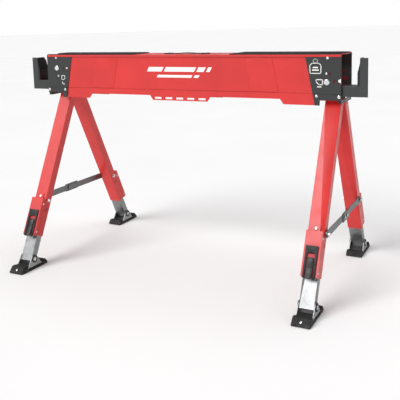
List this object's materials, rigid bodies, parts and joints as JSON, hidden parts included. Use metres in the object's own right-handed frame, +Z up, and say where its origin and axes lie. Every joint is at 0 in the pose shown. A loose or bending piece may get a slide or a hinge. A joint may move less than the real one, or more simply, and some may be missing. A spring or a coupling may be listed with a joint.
{
  "type": "folding sawhorse",
  "caption": "Steel folding sawhorse: a closed-top beam on splayed legs that fold into it, with sliding leg extensions, tilting feet, folding timber arms and braces between the legs.",
  "frame": {"origin": "on the floor, under the middle of the beam", "axes": "+X along the beam towards the end whose legs stow below the other pair, +Y towards the back face, +Z up"},
  "size_m": [1.14, 0.6706, 0.665],
  "materials": {
    "red_paint": "satin red powder coat",
    "black_paint": "satin black powder coat",
    "black_plastic": "moulded, matt",
    "zinc_steel": "bright zinc plated",
    "bright_steel": "zinc plated",
    "black_rubber": "moulded rubber",
    "webbing": "woven webbing"
  },
  "bodies": {
    "beam": {"top_rail": "red_paint", "top_pad_left": "black_plastic", "top_pad_right": "black_plastic", "carry_strap": "webbing", "front_panel": "red_paint", "back_panel": "red_paint", "left_end_plate_front": "black_paint", "left_end_plate_back": "black_paint", "left_end_bracket": "black_paint", "left_arm_pin": "bright_steel", "right_end_plate_front": "black_paint", "right_end_plate_back": "black_paint", "right_end_bracket": "black_paint", "right_arm_pin": "bright_steel"},
    "left_pivot_pins": {"left_pivot_pin_front": "bright_steel", "left_pivot_pin_back": "bright_steel"},
    "left_hub": {"left_leg_hub": "red_paint"},
    "left_arm": {"left_support_arm": "black_paint"},
    "left_front_leg": {"left_front_outer_leg": "red_paint", "left_front_latch_housing": "red_paint", "left_front_latch_bezel": "black_plastic"},
    "left_front_lever": {"left_front_latch_lever": "black_plastic"},
    "left_front_extension": {"left_front_leg_extension": "zinc_steel"},
    "left_front_foot_pin": {"left_front_foot_bolt": "bright_steel"},
    "left_front_foot": {"left_front_foot_pad": "black_rubber", "left_front_foot_insert": "bright_steel"},
    "left_brace_front_link": {"left_brace_front": "zinc_steel", "left_brace_lock": "zinc_steel"},
    "left_back_leg": {"left_back_outer_leg": "red_paint", "left_back_latch_housing": "red_paint", "left_back_latch_bezel": "black_plastic"},
    "left_back_lever": {"left_back_latch_lever": "black_plastic"},
    "left_back_extension": {"left_back_leg_extension": "zinc_steel"},
    "left_back_foot_pin": {"left_back_foot_bolt": "bright_steel"},
    "left_back_foot": {"left_back_foot_pad": "black_rubber", "left_back_foot_insert": "bright_steel"},
    "left_brace_back_link": {"left_brace_back": "zinc_steel"},
    "right_pivot_pins": {"right_pivot_pin_front": "bright_steel", "right_pivot_pin_back": "bright_steel"},
    "right_hub": {"right_leg_hub": "red_paint"},
    "right_arm": {"right_support_arm": "black_paint"},
    "right_front_leg": {"right_front_outer_leg": "red_paint", "right_front_latch_housing": "red_paint", "right_front_latch_bezel": "black_plastic"},
    "right_front_lever": {"right_front_latch_lever": "black_plastic"},
    "right_front_extension": {"right_front_leg_extension": "zinc_steel"},
    "right_front_foot_pin": {"right_front_foot_bolt": "bright_steel"},
    "right_front_foot": {"right_front_foot_pad": "black_rubber", "right_front_foot_insert": "bright_steel"},
    "right_brace_front_link": {"right_brace_front": "zinc_steel", "right_brace_lock": "zinc_steel"},
    "right_back_leg": {"right_back_outer_leg": "red_paint", "right_back_latch_housing": "red_paint", "right_back_latch_bezel": "black_plastic"},
    "right_back_lever": {"right_back_latch_lever": "black_plastic"},
    "right_back_extension": {"right_back_leg_extension": "zinc_steel"},
    "right_back_foot_pin": {"right_back_foot_bolt": "bright_steel"},
    "right_back_foot": {"right_back_foot_pad": "black_rubber", "right_back_foot_insert": "bright_steel"},
    "right_brace_back_link": {"right_brace_back": "zinc_steel"}
  },
  "joints": [
    {"name": "left_fold", "type": "hinge", "parent": "beam", "child": "left_pivot_pins", "pos_m": [-0.46, 0, 0.619], "axis": [0, -1, 0], "range_deg": [0, 75]},
    {"name": "left_stow", "type": "hinge", "parent": "left_pivot_pins", "child": "left_hub", "pos_m": [-0.46, 0, 0.619], "axis": [0, -1, 0], "range_deg": [0, 15]},
    {"name": "left_arm_fold", "type": "hinge", "parent": "beam", "child": "left_arm", "pos_m": [-0.494, 0, 0.547], "axis": [0, 1, 0], "range_deg": [0, 90]},
    {"name": "left_front_splay", "type": "hinge", "parent": "left_hub", "child": "left_front_leg", "pos_m": [-0.445, -0.02498, 0.524], "axis": [1, 0, 0], "range_deg": [0, 27.64]},
    {"name": "left_front_extend", "type": "slide", "parent": "left_front_leg", "child": "left_front_extension", "axis": [0, 0.4462, 0.8949], "range_m": [-0.12, 0]},
    {"name": "left_front_foot_tuck", "type": "hinge", "parent": "left_front_extension", "child": "left_front_foot_pin", "pos_m": [-0.445, -0.27028, 0.032], "axis": [-1, 0, 0], "range_deg": [0, 101.51]},
    {"name": "left_front_foot_tilt", "type": "hinge", "parent": "left_front_foot_pin", "child": "left_front_foot", "pos_m": [-0.445, -0.27028, 0.032], "axis": [-1, 0, 0], "range_deg": [-15, 15]},
    {"name": "left_front_latch", "type": "hinge", "parent": "left_front_leg", "child": "left_front_lever", "pos_m": [-0.445, -0.23752, 0.16763], "axis": [1, 0, 0], "range_deg": [-20, 0], "stiffness_Nm_per_rad": 0.3, "springref_deg": 17.19},
    {"name": "left_brace_front_swing", "type": "hinge", "parent": "left_front_leg", "child": "left_brace_front_link", "pos_m": [-0.445, -0.18652, 0.2], "axis": [1, 0, 0], "range_deg": [0, 63.51]},
    {"name": "left_back_splay", "type": "hinge", "parent": "left_hub", "child": "left_back_leg", "pos_m": [-0.445, 0.02498, 0.524], "axis": [-1, 0, 0], "range_deg": [0, 27.64]},
    {"name": "left_back_extend", "type": "slide", "parent": "left_back_leg", "child": "left_back_extension", "axis": [0, -0.4462, 0.8949], "range_m": [-0.12, 0]},
    {"name": "left_back_foot_tuck", "type": "hinge", "parent": "left_back_extension", "child": "left_back_foot_pin", "pos_m": [-0.445, 0.27028, 0.032], "axis": [1, 0, 0], "range_deg": [0, 101.51]},
    {"name": "left_back_foot_tilt", "type": "hinge", "parent": "left_back_foot_pin", "child": "left_back_foot", "pos_m": [-0.445, 0.27028, 0.032], "axis": [1, 0, 0], "range_deg": [-15, 15]},
    {"name": "left_back_latch", "type": "hinge", "parent": "left_back_leg", "child": "left_back_lever", "pos_m": [-0.445, 0.23752, 0.16763], "axis": [-1, 0, 0], "range_deg": [-20, 0], "stiffness_Nm_per_rad": 0.3, "springref_deg": 17.19},
    {"name": "left_brace_back_swing", "type": "hinge", "parent": "left_back_leg", "child": "left_brace_back_link", "pos_m": [-0.445, 0.18652, 0.2], "axis": [-1, 0, 0], "range_deg": [0, 63.51]},
    {"name": "right_fold", "type": "hinge", "parent": "beam", "child": "right_pivot_pins", "pos_m": [0.46, 0, 0.587], "axis": [0, 1, 0], "range_deg": [0, 75]},
    {"name": "right_stow", "type": "hinge", "parent": "right_pivot_pins", "child": "right_hub", "pos_m": [0.46, 0, 0.587], "axis": [0, 1, 0], "range_deg": [0, 15]},
    {"name": "right_arm_fold", "type": "hinge", "parent": "beam", "child": "right_arm", "pos_m": [0.494, 0, 0.547], "axis": [0, -1, 0], "range_deg": [0, 90]},
    {"name": "right_front_splay", "type": "hinge", "parent": "right_hub", "child": "right_front_leg", "pos_m": [0.472, -0.02498, 0.524], "axis": [1, 0, 0], "range_deg": [0, 27.64]},
    {"name": "right_front_extend", "type": "slide", "parent": "right_front_leg", "child": "right_front_extension", "axis": [0, 0.4462, 0.8949], "range_m": [-0.12, 0]},
    {"name": "right_front_foot_tuck", "type": "hinge", "parent": "right_front_extension", "child": "right_front_foot_pin", "pos_m": [0.472, -0.27028, 0.032], "axis": [-1, 0, 0], "range_deg": [0, 101.51]},
    {"name": "right_front_foot_tilt", "type": "hinge", "parent": "right_front_foot_pin", "child": "right_front_foot", "pos_m": [0.472, -0.27028, 0.032], "axis": [-1, 0, 0], "range_deg": [-15, 15]},
    {"name": "right_front_latch", "type": "hinge", "parent": "right_front_leg", "child": "right_front_lever", "pos_m": [0.472, -0.23752, 0.16763], "axis": [1, 0, 0], "range_deg": [-20, 0], "stiffness_Nm_per_rad": 0.3, "springref_deg": 17.19},
    {"name": "right_brace_front_swing", "type": "hinge", "parent": "right_front_leg", "child": "right_brace_front_link", "pos_m": [0.472, -0.18652, 0.2], "axis": [1, 0, 0], "range_deg": [0, 63.51]},
    {"name": "right_back_splay", "type": "hinge", "parent": "right_hub", "child": "right_back_leg", "pos_m": [0.472, 0.02498, 0.524], "axis": [-1, 0, 0], "range_deg": [0, 27.64]},
    {"name": "right_back_extend", "type": "slide", "parent": "right_back_leg", "child": "right_back_extension", "axis": [0, -0.4462, 0.8949], "range_m": [-0.12, 0]},
    {"name": "right_back_foot_tuck", "type": "hinge", "parent": "right_back_extension", "child": "right_back_foot_pin", "pos_m": [0.472, 0.27028, 0.032], "axis": [1, 0, 0], "range_deg": [0, 101.51]},
    {"name": "right_back_foot_tilt", "type": "hinge", "parent": "right_back_foot_pin", "child": "right_back_foot", "pos_m": [0.472, 0.27028, 0.032], "axis": [1, 0, 0], "range_deg": [-15, 15]},
    {"name": "right_back_latch", "type": "hinge", "parent": "right_back_leg", "child": "right_back_lever", "pos_m": [0.472, 0.23752, 0.16763], "axis": [-1, 0, 0], "range_deg": [-20, 0], "stiffness_Nm_per_rad": 0.3, "springref_deg": 17.19},
    {"name": "right_brace_back_swing", "type": "hinge", "parent": "right_back_leg", "child": "right_brace_back_link", "pos_m": [0.472, 0.18652, 0.2], "axis": [-1, 0, 0], "range_deg": [0, 63.51]}
  ],
  "couplings": [
    {"joint": "left_front_splay", "follows": "left_fold", "ratio": 0.3684},
    {"joint": "left_front_foot_tuck", "follows": "left_fold", "ratio": 1.3533},
    {"joint": "left_brace_front_swing", "follows": "left_fold", "ratio": 0.84667},
    {"joint": "left_back_splay", "follows": "left_fold", "ratio": 0.3684},
    {"joint": "left_back_foot_tuck", "follows": "left_fold", "ratio": 1.3533},
    {"joint": "left_brace_back_swing", "follows": "left_fold", "ratio": 0.84667},
    {"joint": "right_front_splay", "follows": "right_fold", "ratio": 0.3684},
    {"joint": "right_front_foot_tuck", "follows": "right_fold", "ratio": 1.3533},
    {"joint": "right_brace_front_swing", "follows": "right_fold", "ratio": 0.84667},
    {"joint": "right_back_splay", "follows": "right_fold", "ratio": 0.3684},
    {"joint": "right_back_foot_tuck", "follows": "right_fold", "ratio": 1.3533},
    {"joint": "right_brace_back_swing", "follows": "right_fold", "ratio": 0.84667}
  ]
}
